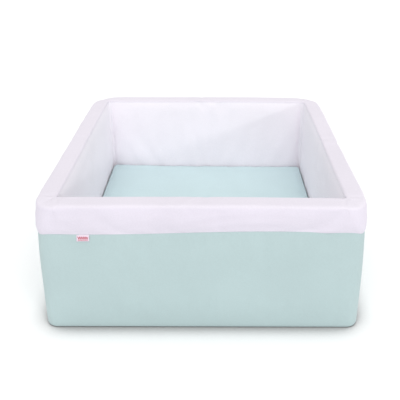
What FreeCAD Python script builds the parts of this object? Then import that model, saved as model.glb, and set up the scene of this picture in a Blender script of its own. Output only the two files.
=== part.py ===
import FreeCAD, Part
import os

# A square soft playpen: a ring of four foam boards in a two-colour jersey cover, and a thick
# loose foam mat lying inside it. All sizes are in millimetres. The origin is on the floor at
# the middle of the footprint, +Z up, +X to the right and -Y to the front.

# Overall
PEN_SIDE = 900.0              # outside, over the cover
PEN_HEIGHT = 396.0            # floor to the top of the rim
WALL = 57.0                   # foam board with the cover on both faces
FABRIC = 1.5                  # thick jersey with its knitted backing
SEAM_HEIGHT = 313.0           # where the outer skirt ends and the rim sleeve starts

# Rounding of the finished wall
OUTER_CORNER = 35.0           # upright corners, outside
INNER_CORNER = 2.0            # upright corners, inside
RIM_OUTER_ROUND = 15.0
RIM_INNER_ROUND = 8.0
FOOT_OUTER_ROUND = 6.0
FOOT_INNER_ROUND = 4.0

# Mat
MAT_SIDE = 776.0
MAT_HEIGHT = 114.0
MAT_CORNER = 16.0
MAT_TOP_ROUND = 12.0
MAT_FOOT_ROUND = 6.0
MAT_TOP_SEAM = 92.0           # the top panel reaches down the sides to here
MAT_FOOT_SEAM = 8.0           # the bottom panel reaches up the sides to here

# Zips: coil chain on woven tape, set flush in a slot of the cover, facing the back
ZIP_SLOT = 12.0               # height of the slot
TAPE_BEHIND = 0.5             # tape face behind the cover's face
TAPE_THICK = 0.8
TAPE_EDGE = 0.6               # from the middle line to each tape's inner edge
COIL_INNER = 0.7              # from the middle line to each coil
COIL_OUTER = 3.1
COIL_PROUD = 1.1              # coil face in front of the cover's face
STOP_LENGTH = 2.4
STOP_PROUD = 1.3
SLIDER_LENGTH = 13.0
SLIDER_HALF_WIDTH = 4.4
SLIDER_PLATE = 0.9
SLIDER_CLEAR = 0.3            # slider plate to coil
SLIDER_BACK_CLEAR = 0.4       # slider plate to tape
SLIDER_FLANGE_INNER = 3.5
SLIDER_BRIDGE_HALF = 0.4
SLIDER_BRIDGE_LENGTH = 4.0
RELIEF_CLEAR = 0.4            # how far the foam gives way behind the slider
RELIEF_HALF = 5.0

WALL_ZIP_LENGTH = 800.0
WALL_ZIP_HEIGHT = 24.0        # middle line above the floor
MAT_ZIP_LENGTH = 640.0
MAT_ZIP_HEIGHT = 50.0
SLIDER_END_GAP = 4.0          # parked slider to the end of the chain

# Pull tab of the wall zip
ARCH_HALF = 4.0
ARCH_HALF_WIDTH = 0.9
ARCH_HEIGHT = 2.7
ARCH_BAR = 0.8
PULL_PIVOT = 1.05             # pivot line in front of the slider plate
PULL_ROD = 0.5                # radius
PULL_ARM_INNER = 1.3
PULL_ARM_OUTER = 2.4
PULL_WINDOW = 6.0             # pivot to the near edge of the solid blade
PULL_LENGTH = 24.0
PULL_HALF_WIDTH = 3.2
PULL_THICK = 1.0

# Woven label hanging from the seam on the front
TAG_CENTRE_X = -316.0
TAG_WIDTH = 34.0
TAG_DROP = 21.0
TAG_THICK = 1.0
TAG_GAP = 0.5                 # off the skirt

SIDES = {"front": 0.0, "right": 90.0, "back": 180.0, "left": 270.0}
BIG = 2.0 * PEN_SIDE
HALF = PEN_SIDE / 2.0
HOLLOW_HALF = HALF - WALL
UP = FreeCAD.Vector(0, 0, 1)
ORIGIN = FreeCAD.Vector(0, 0, 0)


def span_box(x_range, y_range, z_range):
    """A box between pairs of coordinates."""
    size = [high - low for low, high in (x_range, y_range, z_range)]
    corner = FreeCAD.Vector(x_range[0], y_range[0], z_range[0])
    return Part.makeBox(size[0], size[1], size[2], corner)


def upright_edges(shape):
    """The straight edges that run along Z."""
    found = []
    for edge in shape.Edges:
        box = edge.BoundBox
        if box.ZLength > 1.0 and box.XLength < 1e-6 and box.YLength < 1e-6:
            found.append(edge)
    return found


def rounded_prism(half, corner, low, high):
    """A square prism about the Z axis with rounded upright corners."""
    prism = span_box((-half, half), (-half, half), (low, high))
    return prism.makeFillet(corner, upright_edges(prism))


def level_edges(shape, level, keep):
    """Edges lying in the plane z = level whose reach from the axis passes the test keep."""
    found = []
    for edge in shape.Edges:
        box = edge.BoundBox
        flat = abs(box.ZMin - level) < 1e-4 and abs(box.ZMax - level) < 1e-4
        reach = max(abs(box.XMin), abs(box.XMax), abs(box.YMin), abs(box.YMax))
        if flat and keep(reach):
            found.append(edge)
    return found


def wall_ring(inset):
    """The whole wall as one ring, drawn in by inset from its finished surface."""
    low = inset
    high = PEN_HEIGHT - inset
    outer = rounded_prism(HALF - inset, OUTER_CORNER - inset, low, high)
    hollow = rounded_prism(HOLLOW_HALF + inset, INNER_CORNER + inset, low - 10.0, high + 10.0)
    ring = outer.cut(hollow)
    middle = HALF - WALL / 2.0
    rounds = (
        (high, RIM_OUTER_ROUND, lambda reach: reach > middle),
        (high, RIM_INNER_ROUND, lambda reach: reach < middle),
        (low, FOOT_OUTER_ROUND, lambda reach: reach > middle),
        (low, FOOT_INNER_ROUND, lambda reach: reach < middle),
    )
    for level, radius, keep in rounds:
        ring = ring.makeFillet(radius - inset, level_edges(ring, level, keep))
    return ring


def side_wedge(side):
    """Everything nearer to one side of the pen than to the others: its mitres lie on the diagonals."""
    points = [(0, 0), (-BIG, -BIG), (BIG, -BIG), (0, 0)]
    outline = Part.makePolygon([FreeCAD.Vector(x, y, -BIG) for x, y in points])
    wedge = Part.Face(outline).extrude(UP * (2.0 * BIG))
    wedge.rotate(ORIGIN, UP, SIDES[side])
    return wedge


def zip_slot(length, height, face):
    """The slot that a zip fills in a cover whose back face is at y = face."""
    half = ZIP_SLOT / 2.0
    x_range = (-length / 2.0, length / 2.0)
    return span_box(x_range, (face - FABRIC - 1.0, face + 1.0), (height - half, height + half))


def zip_relief(length, height, face):
    """The hollow that the back plate of the slider presses into the foam."""
    depth = TAPE_BEHIND + TAPE_THICK + SLIDER_BACK_CLEAR + SLIDER_PLATE + RELIEF_CLEAR
    x_range = (-length / 2.0, length / 2.0)
    z_range = (height - RELIEF_HALF, height + RELIEF_HALF)
    return span_box(x_range, (face - depth, face), z_range)


def zip_chain(prefix, length, height, face):
    """Tapes, coils and end stops of one zip."""
    parts = {}
    x_range = (-length / 2.0, length / 2.0)
    tape_y = (face - TAPE_BEHIND - TAPE_THICK, face - TAPE_BEHIND)
    coil_y = (face - TAPE_BEHIND, face + COIL_PROUD)
    for name, sign in (("upper", 1.0), ("lower", -1.0)):
        tape_z = sorted((height + sign * TAPE_EDGE, height + sign * ZIP_SLOT / 2.0))
        coil_z = sorted((height + sign * COIL_INNER, height + sign * COIL_OUTER))
        coil_x = (x_range[0] + STOP_LENGTH, x_range[1] - STOP_LENGTH)
        parts[prefix + "_tape_" + name] = span_box(x_range, tape_y, tape_z)
        coil = span_box(coil_x, coil_y, coil_z)
        long_edges = [e for e in coil.Edges if e.BoundBox.XLength > 1.0 and e.BoundBox.YMax > face]
        parts[prefix + "_coil_" + name] = coil.makeFillet(0.6, long_edges)
    stop_z = (height - COIL_OUTER, height + COIL_OUTER)
    stop_y = (face - TAPE_BEHIND, face + STOP_PROUD)
    for name, start in (("left", x_range[0]), ("right", x_range[1] - STOP_LENGTH)):
        stop = span_box((start, start + STOP_LENGTH), stop_y, stop_z)
        parts[prefix + "_stop_" + name] = stop.makeFillet(0.4, stop.Edges)
    return parts


def slider_start(length):
    """Where the closed slider's middle is, along X."""
    return -length / 2.0 + STOP_LENGTH + SLIDER_END_GAP + SLIDER_LENGTH / 2.0


def slider_body(length, height, face):
    """Front and back plates joined by a bridge that runs between the two coils."""
    middle = slider_start(length)
    x_range = (middle - SLIDER_LENGTH / 2.0, middle + SLIDER_LENGTH / 2.0)
    z_range = (height - SLIDER_HALF_WIDTH, height + SLIDER_HALF_WIDTH)
    front_low = face + COIL_PROUD + SLIDER_CLEAR
    back_high = face - TAPE_BEHIND - TAPE_THICK - SLIDER_BACK_CLEAR
    plates = []
    for low in (front_low, back_high - SLIDER_PLATE):
        plate = span_box(x_range, (low, low + SLIDER_PLATE), z_range)
        corners = [e for e in plate.Edges if e.BoundBox.YLength > 0.5]
        plates.append(plate.makeFillet(3.0, corners))
    body = plates[0].fuse(plates[1])
    for sign in (-1.0, 1.0):
        flange_z = sorted((height + sign * SLIDER_FLANGE_INNER, height + sign * SLIDER_HALF_WIDTH))
        flange_x = (x_range[0] + 3.0, x_range[1] - 3.0)
        body = body.fuse(span_box(flange_x, (face, front_low), flange_z))
    bridge_x = (x_range[0] + 1.5, x_range[0] + 1.5 + SLIDER_BRIDGE_LENGTH)
    bridge_z = (height - SLIDER_BRIDGE_HALF, height + SLIDER_BRIDGE_HALF)
    return body.fuse(span_box(bridge_x, (back_high, front_low), bridge_z)).removeSplitter()


def slider_face(face):
    """The y of the slider's front surface."""
    return face + COIL_PROUD + SLIDER_CLEAR + SLIDER_PLATE


def slider_arch(length, height, face):
    """The arch on the slider that holds the crossbar of the pull tab."""
    middle = slider_start(length)
    base = slider_face(face)
    x_range = (middle - ARCH_HALF, middle + ARCH_HALF)
    z_range = (height - ARCH_HALF_WIDTH, height + ARCH_HALF_WIDTH)
    block = span_box(x_range, (base, base + ARCH_HEIGHT), z_range)
    far_edges = [e for e in block.Edges if e.BoundBox.ZLength > 1.0 and e.BoundBox.YMin > base + 1.0]
    block = block.makeFillet(1.0, far_edges)
    window_x = (x_range[0] + ARCH_BAR, x_range[1] - ARCH_BAR)
    window_z = (z_range[0] - 1.0, z_range[1] + 1.0)
    return block.cut(span_box(window_x, (base, base + ARCH_HEIGHT - ARCH_BAR), window_z))


def pull_tab(length, height, face):
    """A flat blade with two arms and a crossbar, lying along the zip towards +X."""
    middle = slider_start(length)
    pivot_y = slider_face(face) + PULL_PIVOT
    y_range = (pivot_y - PULL_THICK / 2.0, pivot_y + PULL_THICK / 2.0)
    tip = middle + PULL_LENGTH
    blade_z = (height - PULL_HALF_WIDTH, height + PULL_HALF_WIDTH)
    blade = span_box((middle + PULL_WINDOW, tip), y_range, blade_z)
    tip_corners = [e for e in blade.Edges if e.BoundBox.YLength > 0.5 and e.BoundBox.XMin > tip - 0.1]
    tab = blade.makeFillet(2.6, tip_corners)
    for sign in (-1.0, 1.0):
        arm_z = sorted((height + sign * PULL_ARM_INNER, height + sign * PULL_ARM_OUTER))
        tab = tab.fuse(span_box((middle, middle + PULL_WINDOW), y_range, arm_z))
    bar_start = FreeCAD.Vector(middle, pivot_y, height - PULL_ARM_OUTER)
    bar = Part.makeCylinder(PULL_ROD, 2.0 * PULL_ARM_OUTER, bar_start, UP)
    eye_x = middle + PULL_LENGTH - 4.2
    eye = Part.makeCylinder(1.5, 4.0, FreeCAD.Vector(eye_x, pivot_y - 2.0, height), FreeCAD.Vector(0, 1, 0))
    return tab.fuse(bar).cut(eye).removeSplitter()


def wall_parts():
    """Foam boards, rim sleeves, skirt and base strips."""
    foam = wall_ring(FABRIC)
    shell = wall_ring(0.0).cut(foam)
    face = HALF
    slot = zip_slot(WALL_ZIP_LENGTH, WALL_ZIP_HEIGHT, face)
    relief = zip_relief(WALL_ZIP_LENGTH, WALL_ZIP_HEIGHT, face)
    below_seam = span_box((-BIG, BIG), (-BIG, BIG), (-1.0, SEAM_HEIGHT))
    inside_skirt = rounded_prism(
        HALF - FOOT_OUTER_ROUND, OUTER_CORNER - FOOT_OUTER_ROUND, -10.0, PEN_HEIGHT
    )
    hollow = rounded_prism(
        HOLLOW_HALF + FOOT_INNER_ROUND, INNER_CORNER + FOOT_INNER_ROUND, -10.0, PEN_HEIGHT
    )
    base_zone = inside_skirt.cut(hollow)
    base_zone = base_zone.common(span_box((-BIG, BIG), (-BIG, BIG), (-1.0, FABRIC)))
    skirt = shell.common(below_seam).cut(inside_skirt)
    base = shell.common(base_zone)
    sleeve = shell.cut(skirt).cut(base)
    parts = {"outer_skirt": skirt.cut(slot)}
    for side in SIDES:
        wedge = side_wedge(side)
        board = foam.common(wedge)
        if side == "back":
            board = board.cut(relief)
        parts["foam_" + side] = board
        parts["rim_sleeve_" + side] = sleeve.common(wedge)
        parts["base_strip_" + side] = base.common(wedge)
    return parts


def mat_block(inset):
    """The mat as one block, drawn in by inset from its finished surface."""
    high = MAT_HEIGHT - inset
    block = rounded_prism(MAT_SIDE / 2.0 - inset, MAT_CORNER - inset, inset, high)
    block = block.makeFillet(MAT_TOP_ROUND - inset, level_edges(block, high, lambda reach: True))
    return block.makeFillet(MAT_FOOT_ROUND - inset, level_edges(block, inset, lambda reach: True))


def mat_parts():
    """Foam block, top panel, border and bottom panel."""
    foam = mat_block(FABRIC)
    shell = mat_block(0.0).cut(foam)
    face = MAT_SIDE / 2.0
    slot = zip_slot(MAT_ZIP_LENGTH, MAT_ZIP_HEIGHT, face)
    relief = zip_relief(MAT_ZIP_LENGTH, MAT_ZIP_HEIGHT, face)
    bands = {
        "mat_cover_bottom": (-1.0, MAT_FOOT_SEAM),
        "mat_border": (MAT_FOOT_SEAM, MAT_TOP_SEAM),
        "mat_cover_top": (MAT_TOP_SEAM, MAT_HEIGHT + 1.0),
    }
    parts = {"mat_foam": foam.cut(relief)}
    for name, z_range in bands.items():
        parts[name] = shell.common(span_box((-BIG, BIG), (-BIG, BIG), z_range))
    parts["mat_border"] = parts["mat_border"].cut(slot)
    return parts


def woven_tag():
    """A folded woven label that hangs from the seam."""
    x_range = (TAG_CENTRE_X - TAG_WIDTH / 2.0, TAG_CENTRE_X + TAG_WIDTH / 2.0)
    y_range = (-HALF - TAG_GAP - TAG_THICK, -HALF - TAG_GAP)
    return span_box(x_range, y_range, (SEAM_HEIGHT - TAG_DROP, SEAM_HEIGHT))


def build():
    """Every node's solid, by name."""
    parts = wall_parts()
    parts.update(zip_chain("wall_zip", WALL_ZIP_LENGTH, WALL_ZIP_HEIGHT, HALF))
    slider = slider_body(WALL_ZIP_LENGTH, WALL_ZIP_HEIGHT, HALF)
    arch = slider_arch(WALL_ZIP_LENGTH, WALL_ZIP_HEIGHT, HALF)
    parts["wall_zip_slider"] = slider.fuse(arch).removeSplitter()
    parts["wall_zip_pull"] = pull_tab(WALL_ZIP_LENGTH, WALL_ZIP_HEIGHT, HALF)
    parts.update(mat_parts())
    mat_face = MAT_SIDE / 2.0
    parts.update(zip_chain("mat_zip", MAT_ZIP_LENGTH, MAT_ZIP_HEIGHT, mat_face))
    parts["mat_zip_slider"] = slider_body(MAT_ZIP_LENGTH, MAT_ZIP_HEIGHT, mat_face)
    parts["woven_tag"] = woven_tag()
    return parts


def report_joints():
    """Prints the places that the joints turn about and how far the sliders travel."""
    for name, length in (("wall", WALL_ZIP_LENGTH), ("mat", MAT_ZIP_LENGTH)):
        travel = -2.0 * slider_start(length)
        print(name, "slider starts at x", slider_start(length), "and travels", travel)
    print("pull pivot y", slider_face(HALF) + PULL_PIVOT, "z", WALL_ZIP_HEIGHT)
    print("tag pivot y", -HALF - TAG_GAP - TAG_THICK / 2.0, "z", SEAM_HEIGHT)


os.makedirs("parts", exist_ok=True)
for node, shape in build().items():
    if len(shape.Solids) != 1 or not shape.isValid():
        raise SystemExit(f"{node}: {len(shape.Solids)} solids, valid {shape.isValid()}")
    shape.Solids[0].exportStep(f"parts/{node}.step")
    print(f"{node}: {shape.Volume / 1000.0:.1f} cm3")
report_joints()
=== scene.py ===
import math

import bmesh
import bpy
import numpy as np
from mathutils import Matrix, Vector


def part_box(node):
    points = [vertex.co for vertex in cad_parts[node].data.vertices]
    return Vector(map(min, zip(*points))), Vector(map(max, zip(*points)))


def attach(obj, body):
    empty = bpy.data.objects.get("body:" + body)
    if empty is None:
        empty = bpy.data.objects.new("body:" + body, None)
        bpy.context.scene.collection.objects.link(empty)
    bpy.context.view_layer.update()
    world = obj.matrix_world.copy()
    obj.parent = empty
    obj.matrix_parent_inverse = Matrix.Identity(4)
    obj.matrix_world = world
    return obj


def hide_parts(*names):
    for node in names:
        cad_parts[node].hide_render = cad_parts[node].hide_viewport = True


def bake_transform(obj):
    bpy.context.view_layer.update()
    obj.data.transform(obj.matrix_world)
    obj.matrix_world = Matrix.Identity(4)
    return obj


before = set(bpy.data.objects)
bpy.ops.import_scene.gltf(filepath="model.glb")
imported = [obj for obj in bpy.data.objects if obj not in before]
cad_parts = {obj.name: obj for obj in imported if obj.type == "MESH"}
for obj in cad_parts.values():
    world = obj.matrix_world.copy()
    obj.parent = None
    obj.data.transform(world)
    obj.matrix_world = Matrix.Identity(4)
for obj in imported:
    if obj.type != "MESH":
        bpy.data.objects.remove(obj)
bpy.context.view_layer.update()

# Lengths are in metres. The pen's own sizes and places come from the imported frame.
MM = 0.001
SKIRT_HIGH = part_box("outer_skirt")[1]
HALF = SKIRT_HIGH.x
SEAM = SKIRT_HIGH.z
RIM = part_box("rim_sleeve_front")[1].z
MAT_LOW, MAT_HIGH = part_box("mat_border")
MAT_HALF = MAT_HIGH.x
MAT_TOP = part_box("mat_cover_top")[1].z
MAT_TOP_SEAM = MAT_HIGH.z
MAT_FOOT_SEAM = MAT_LOW.z
WALL_ZIP = (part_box("wall_zip_tape_lower")[0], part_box("wall_zip_tape_upper")[1])
MAT_ZIP = (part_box("mat_zip_tape_lower")[0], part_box("mat_zip_tape_upper")[1])
TAG_LOW, TAG_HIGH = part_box("woven_tag")
SIDES = ("front", "right", "back", "left")

# The wall's section
WALL = 57 * MM
OUTER_CORNER = 35 * MM
RIM_CORNER_EASE = (24 * MM, 24 * MM, 18 * MM, 45 * MM)  # rounder at the rim, from the front left round
SMALLEST_CORNER = 8 * MM      # of the lining, inside
RIM_OUTER_ROUND = 11 * MM
RIM_INNER_ROUND = 7 * MM
FOOT_OUTER_ROUND = 6 * MM
FOOT_INNER_ROUND = 4 * MM
FABRIC = 1.3 * MM
FOAM_INSET = 4 * MM           # foam behind the plain face of the cover
FOAM_SLACK = 5 * MM           # how much rounder the foam's outer corners are than the cover's

# How soft it is
LEAN = 4 * MM                 # how far the cover draws each wall in at the rim
RIGHT_LEAN = 6.5 * MM         # the right wall stands in a little more
SEAM_WAVE = 5.6 * MM          # how far the seam strays up and down
SEAM_PINCH = 4 * MM           # how far the seam is drawn in
BAND_PROUD = 2 * MM           # how far the white band bulges above it
CORNER_SLUMP = 7 * MM         # how far the rim's outer corners sink
CORNER_DIP = 8 * MM           # how far the seam dips at the corners
MITRE_GROOVE = 1.1 * MM
CORNER_ROLL = 3.6 * MM        # the padded roll up each inner corner
CORNER_CREASE = 2.4 * MM      # beside the roll
TURN_IN = 2.5 * MM            # hem of each panel, inside its seam
COVER_PRESSURE = 0.6
MAT_PRESSURE = 0.9
MAT_LOFT = 7 * MM             # how much thicker the mat is towards its back left corner
MAT_SPARE = 2.6 * MM          # how much smaller the mat starts, before it swells
SWELL = 0.003                 # how much larger than the foam the cloth is cut
SIM_FRAMES = 20
SIM_CAP = 5 * MM

# Small wrinkles, by how far they stand out
SEAM_RIPPLE = 0.45 * MM
BAND_DRAG = 0.35 * MM
SKIRT_SLACK = 0.5 * MM
TAG_FOLD = 0.7 * MM
RIGHT_FOLD = 0.9 * MM
MITRE_GATHER = 0.9 * MM

# Grid steps
ROW_STEP = 13 * MM
COLUMN_STEP = 12.5 * MM
SEAM_ROWS = (1.2 * MM, 3.5 * MM, 7.5 * MM)
CORNER_COLUMNS = (3 * MM, 8 * MM)
CORNER_STEPS = 4
EDGE_STEPS = 3
UNDER_ROWS = 3                # under the wall
FACE_ROW = 3                  # the first row of the outer face, above the rounded foot

# Zips
COIL_PITCH = 1.4 * MM
COIL_WIRE = 0.23 * MM         # radius
COIL_POINTS = 8               # round each turn
WIRE_SIDES = 5
TAPE_THICK = 0.5 * MM
TAPE_BEAD = 0.12 * MM         # how much prouder the woven edge by the coil is
TOPSTITCH_AWAY = 2.2 * MM     # from the slot
TOPSTITCH_PITCH = 3.6 * MM
TOPSTITCH_LENGTH = 2.7 * MM
THREAD = 0.22 * MM            # radius

# Colours, linear
WHITE = (0.765, 0.725, 0.795)
SHADED_BAND_WHITE = (0.722, 0.682, 0.767)    # the same cloth below the rim, outside, painted darker than the rim as painted shade
LIT_LINING_WHITE = (0.965, 0.915, 0.965)  # the same cloth inside the pen, painted lighter than the rim as painted light
MINT = (0.452, 0.565, 0.571)
MAT_MINT = (0.588, 0.732, 0.75)
LABEL = (0.745, 0.63, 0.725)
LABEL_RED = (0.42, 0.005, 0.035)
LABEL_LOW = 1.7 * MM          # the label hangs this much below its CAD solid, as its seam sags there
STITCH_WIDTH = 1.7 * MM
STITCH_HEIGHT = 1.2 * MM

# The view, with angles in degrees, and the light
EYE = (0.033, -1.670, 1.104)
PITCH, YAW, ROLL = 24.067, 0.602, 0.550
LENS = 48.97
SHIFT = (-0.05, -0.125)       # the picture is an off-centre crop
SKY = 0.83
CONTACT_REACH = 75 * MM       # of the shade on the floor round the foot
FLOOR_REACH = 12.0


# ---- small helpers

def smooth(t):
    """0 to 1 with level ends."""
    t = np.clip(t, 0.0, 1.0)
    return t * t * (3.0 - 2.0 * t)


def bell(x, width):
    """1 at zero, falling smoothly to nothing over about twice the width."""
    return np.exp(-(x / width) ** 2)


def link(name, data):
    piece = bpy.data.objects.new(name, data)
    bpy.context.scene.collection.objects.link(piece)
    return piece


def new_mesh(name, points, faces, uv=None):
    """A smooth mesh object; uv holds a pair in metres for each point."""
    mesh = bpy.data.meshes.new(name)
    mesh.from_pydata([tuple(p) for p in points], [], [tuple(f) for f in faces])
    mesh.polygons.foreach_set("use_smooth", [True] * len(mesh.polygons))
    if uv is not None:
        layer = mesh.uv_layers.new(name="cloth")
        corner = np.zeros(len(mesh.loops), np.int32)
        mesh.loops.foreach_get("vertex_index", corner)
        layer.data.foreach_set("uv", np.asarray(uv, np.float32)[corner].ravel())
    mesh.update()
    return link(name, mesh)


def quads(rows, columns, closed_rows=False, closed_columns=False):
    """The quads of a grid whose points are numbered row by row, and which may close on itself."""
    return [
        [r * columns + c, r * columns + (c + 1) % columns,
         (r + 1) % rows * columns + (c + 1) % columns, (r + 1) % rows * columns + c]
        for r in range(rows if closed_rows else rows - 1)
        for c in range(columns if closed_columns else columns - 1)
    ]


def points_of(piece, what="co"):
    """The places of a piece's points, or with what="normal" the directions that they face."""
    found = np.zeros(len(piece.data.vertices) * 3)
    piece.data.vertices.foreach_get(what, found)
    return found.reshape(-1, 3)


def set_points(piece, co):
    piece.data.vertices.foreach_set("co", np.asarray(co, float).ravel())
    piece.data.update()


def apply_modifiers(piece):
    """Turns what the modifiers show into the piece's own mesh."""
    graph = bpy.context.evaluated_depsgraph_get()
    done = bpy.data.meshes.new_from_object(piece.evaluated_get(graph))
    piece.modifiers.clear()
    piece.data = done


def drop_unused(points, faces, uv):
    """Keeps only the points that the faces use."""
    used = sorted({i for f in faces for i in f})
    place = {old: new for new, old in enumerate(used)}
    return points[used], [[place[i] for i in f] for f in faces], uv[used]


def cloth(piece, hold, pressure):
    """Lets the cover swell like cloth over foam; hold is how firmly each point stays, 0 to 1."""
    group = piece.vertex_groups.new(name="hold")
    for index, weight in enumerate(hold):
        group.add([index], float(weight), "REPLACE")
    modifier = piece.modifiers.new("swell", "CLOTH")
    settings = modifier.settings
    settings.quality = 5
    settings.mass = 0.25
    settings.tension_stiffness = 20
    settings.compression_stiffness = 20
    settings.shear_stiffness = 6
    settings.bending_stiffness = 0.6
    settings.tension_damping = 10
    settings.compression_damping = 10
    settings.use_pressure = True
    settings.uniform_pressure_force = pressure
    settings.shrink_min = -SWELL
    settings.vertex_group_mass = "hold"
    settings.pin_stiffness = 1.0
    settings.effector_weights.gravity = 0
    modifier.collision_settings.use_collision = False
    modifier.point_cache.frame_start = 1
    modifier.point_cache.frame_end = SIM_FRAMES
    start = points_of(piece)
    for step in range(1, SIM_FRAMES + 1):
        bpy.context.scene.frame_set(step)
    apply_modifiers(piece)
    bpy.context.scene.frame_set(1)
    move = points_of(piece) - start
    far = np.linalg.norm(move, axis=1, keepdims=True)
    set_points(piece, start + move * np.minimum(1.0, SIM_CAP / np.maximum(far, 1e-9)))


def renumber(elements, key):
    """Puts a mesh's points, edges or faces in order."""
    rank = {element: number for number, element in enumerate(sorted(elements, key=key))}
    elements.sort(key=rank.get)


def number_by_place(mesh, layer):
    """Numbers a mesh by where its points are and lie on the cloth, so that each run numbers it alike."""
    renumber(mesh.verts, lambda v: v.co.to_tuple(6) + v.link_loops[0][layer].uv.to_tuple(6))
    mesh.verts.index_update()
    for elements in (mesh.edges, mesh.faces):
        renumber(elements, lambda e: sorted(v.index for v in e.verts))


def turn_in(piece, depth=TURN_IN, leave=None, flush_ends=False):
    """Folds the raw edges of a panel inwards, as they lie in a seam.

    leave tells points to pass over. With flush_ends the cloth looks even up to the seams at both ends.
    """
    mesh = bmesh.new()
    mesh.from_mesh(piece.data)
    mesh.normal_update()
    crease = mesh.edges.layers.float.new("crease_edge")
    corner = mesh.verts.layers.float.new("crease_vert")
    layer = mesh.loops.layers.uv.active
    edges = [e for e in mesh.edges if e.is_boundary]
    if leave:
        edges = [e for e in edges if not all(leave(v.co) for v in e.verts)]
    place = {}
    for edge in edges:
        edge[crease] = 1.0
        start, end = (vertex.link_loops[0][layer].uv.x for vertex in edge.verts)
        if flush_ends and abs(start - end) < 1e-6:
            edge.smooth = False
        for vertex in edge.verts:
            uv = vertex.link_loops[0][layer].uv.copy()
            place[vertex.co.to_tuple(7)] = (vertex.normal.copy(), uv)
            if len(vertex.link_faces) == 1:
                vertex[corner] = 1.0
    made = bmesh.ops.extrude_edge_only(mesh, edges=edges)["geom"]
    for face in (g for g in made if isinstance(g, bmesh.types.BMFace)):
        for loop in face.loops:
            loop[layer].uv = place[loop.vert.co.to_tuple(7)][1]
    for vertex in (g for g in made if isinstance(g, bmesh.types.BMVert)):
        vertex.co -= depth * place[vertex.co.to_tuple(7)][0]
    number_by_place(mesh, layer)
    mesh.to_mesh(piece.data)
    mesh.free()


def on_fold_line(piece):
    """Which points lie where a hem is folded in, and so in a seam."""
    crease = np.zeros(len(piece.data.edges), np.float32)
    piece.data.attributes["crease_edge"].data.foreach_get("value", crease)
    ends = np.zeros(2 * len(crease), np.int32)
    piece.data.edges.foreach_get("vertices", ends)
    found = np.zeros(len(piece.data.vertices), bool)
    found[ends.reshape(-1, 2)[crease > 0.5].ravel()] = True
    return found


def thicken(piece, standing_out=None, thickness=FABRIC):
    """Rounds a sheet off, wrinkles it between its seams and gives it the cloth's thickness, inwards."""
    rounding = piece.modifiers.new("round", "SUBSURF")
    rounding.levels = rounding.render_levels = 1
    rounding.boundary_smooth = "PRESERVE_CORNERS"
    apply_modifiers(piece)
    if standing_out is not None:
        co = points_of(piece)
        height = np.where(on_fold_line(piece), 0.0, standing_out(co))
        set_points(piece, co + points_of(piece, "normal") * height[:, None])
    thick = piece.modifiers.new("thick", "SOLIDIFY")
    thick.thickness = thickness
    thick.offset = -1.0
    apply_modifiers(piece)


# ---- materials

class Nodes:
    """Builds one material's node tree with few words."""

    def __init__(self, name):
        self.material = bpy.data.materials.new(name)
        self.material.use_nodes = True
        self.tree = self.material.node_tree
        self.shader = self.tree.nodes["Principled BSDF"]

    def add(self, kind, inputs=(), **settings):
        """A new node; inputs holds a value or another node's output for each socket."""
        node = self.tree.nodes.new(kind)
        for key, value in settings.items():
            setattr(node, key, value)
        for socket, value in dict(inputs).items():
            if isinstance(value, bpy.types.NodeSocket):
                self.tree.links.new(value, node.inputs[socket])
            else:
                node.inputs[socket].default_value = value
        return node

    def math(self, operation, a, b=0.0, c=0.0):
        return self.add("ShaderNodeMath", {0: a, 1: b, 2: c}, operation=operation).outputs[0]

    def object_place(self):
        return self.add("ShaderNodeTexCoord").outputs["Object"]

    def cloth_place(self):
        """Where a point lies on the cloth, across and along it, in metres."""
        where = self.add("ShaderNodeUVMap", uv_map="cloth").outputs["UV"]
        split = self.add("ShaderNodeSeparateXYZ", {0: where})
        return split.outputs["X"], split.outputs["Y"]

    def noise(self, place, scale, detail=3.0, roughness=0.5):
        inputs = {"Vector": place, "Scale": scale, "Detail": detail, "Roughness": roughness}
        return self.add("ShaderNodeTexNoise", inputs).outputs["Fac"]

    def ramp(self, value, stops):
        node = self.add("ShaderNodeValToRGB", {"Fac": value})
        ramp = node.color_ramp
        while len(ramp.elements) < len(stops):
            ramp.elements.new(0.5)
        for element, (position, colour) in zip(ramp.elements, stops):
            element.position = position
            element.color = (*colour, 1.0)
        return node.outputs["Color"]

    def mix(self, share, a, b, blend="MIX"):
        a, b = ((*colour, 1.0) if isinstance(colour, tuple) else colour for colour in (a, b))
        inputs = {0: share, 6: a, 7: b}
        return self.add("ShaderNodeMix", inputs, data_type="RGBA", blend_type=blend).outputs[2]

    def bump(self, height, distance, strength, normal=None):
        inputs = {"Height": height, "Distance": distance, "Strength": strength}
        if normal is not None:
            inputs["Normal"] = normal
        return self.add("ShaderNodeBump", inputs).outputs["Normal"]

    def surface(self, colour, normal, **values):
        self.tree.links.new(colour, self.shader.inputs["Base Color"])
        self.tree.links.new(normal, self.shader.inputs["Normal"])
        for name, value in values.items():
            self.shader.inputs[name.replace("_", " ")].default_value = value
        return self.material


def tinted(colour, factor):
    return tuple(min(1.0, c * factor) for c in colour)


def painted_light_step(n, along, place, width, base, patches, colour):
    """Painted light and shade: the cloth changes softly to a lighter or darker copy of its colour past a
    place along it.
    """
    past = n.add("ShaderNodeMapRange", {
        "Value": along,
        "From Min": place,
        "From Max": place + width,
    }, interpolation_type="SMOOTHSTEP").outputs["Result"]
    lit_or_shaded_copy = n.ramp(patches, [(0.3, tinted(colour, 0.98)), (0.7, tinted(colour, 1.015))])
    return n.mix(past, base, lit_or_shaded_copy)


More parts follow.
